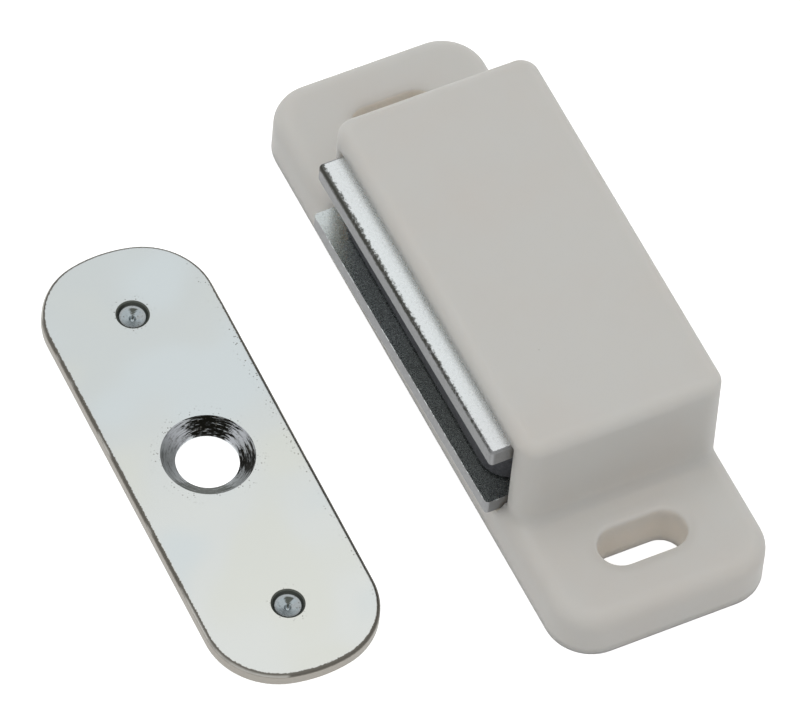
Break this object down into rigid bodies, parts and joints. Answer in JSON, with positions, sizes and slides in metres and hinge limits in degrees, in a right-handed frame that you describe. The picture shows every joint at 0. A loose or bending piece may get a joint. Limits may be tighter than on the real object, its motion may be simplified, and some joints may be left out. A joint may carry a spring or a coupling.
{
  "type": "magnetic catch",
  "caption": "Cabinet door magnetic catch: moulded housing with slotted ears, a floating magnet between two pole plates, and a flat countersunk strike plate.",
  "frame": {"origin": "centre of the housing's mounting face, which lies on the surface it is screwed to", "axes": "+X along the housing, -Y towards the strike plate where the pole plates stand out, +Z away from the mounting surface"},
  "size_m": [0.06, 0.0461, 0.0147],
  "materials": {
    "housing_nylon": "moulded natural white nylon, satin",
    "pole_plate_steel": "bright zinc plate on blanked steel",
    "magnet_ferrite": "sintered ferrite, ground faces",
    "strike_steel": "bright zinc plate on blanked steel"
  },
  "bodies": {
    "housing": {"housing": "housing_nylon", "strike_plate": "strike_steel"},
    "magnet_pack": {"magnet": "magnet_ferrite"},
    "upper_pole": {"upper_pole_plate": "pole_plate_steel"},
    "lower_pole": {"lower_pole_plate": "pole_plate_steel"}
  },
  "joints": [
    {"name": "pack_slide", "type": "slide", "parent": "housing", "child": "magnet_pack", "axis": [0, 1, 0], "range_m": [0, 0.0006]},
    {"name": "upper_plate_rock", "type": "hinge", "parent": "magnet_pack", "child": "upper_pole", "pos_m": [-0.00035, -0.00265, 0.0117], "axis": [0, 0, 1], "range_deg": [-1.7, 0.3]},
    {"name": "lower_plate_rock", "type": "hinge", "parent": "magnet_pack", "child": "lower_pole", "pos_m": [-0.00035, -0.00265, 0.0046], "axis": [0, 0, 1], "range_deg": [-1.8, 0.2]}
  ]
}
